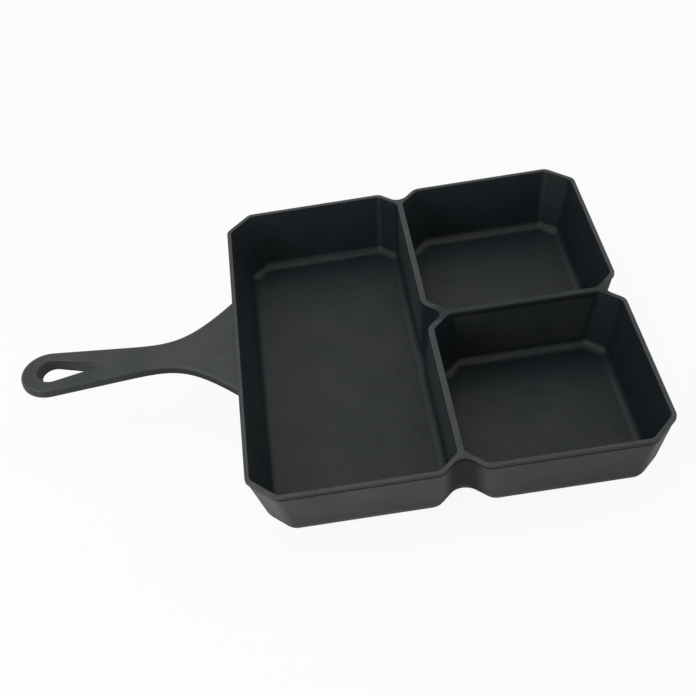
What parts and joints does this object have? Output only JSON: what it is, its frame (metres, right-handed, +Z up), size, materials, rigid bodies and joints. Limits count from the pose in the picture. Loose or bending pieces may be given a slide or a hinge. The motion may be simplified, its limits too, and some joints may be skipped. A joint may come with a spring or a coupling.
{
  "type": "divided frying pan",
  "caption": "Near-square frying pan with compartments between cast walls, cut corners, notched rim and a flat handle with a teardrop hanging hole.",
  "frame": {"origin": "middle of the body, on the underside that rests on the hob", "axes": "+Z up, +X away from the handle, +Y to the back of the pan"},
  "size_m": [0.4681, 0.326, 0.0543],
  "materials": {
    "cast_iron": "near-black satin, seasoned, with a fine cast grain"
  },
  "bodies": {
    "root": {"pan": "cast_iron"}
  },
  "joints": []
}
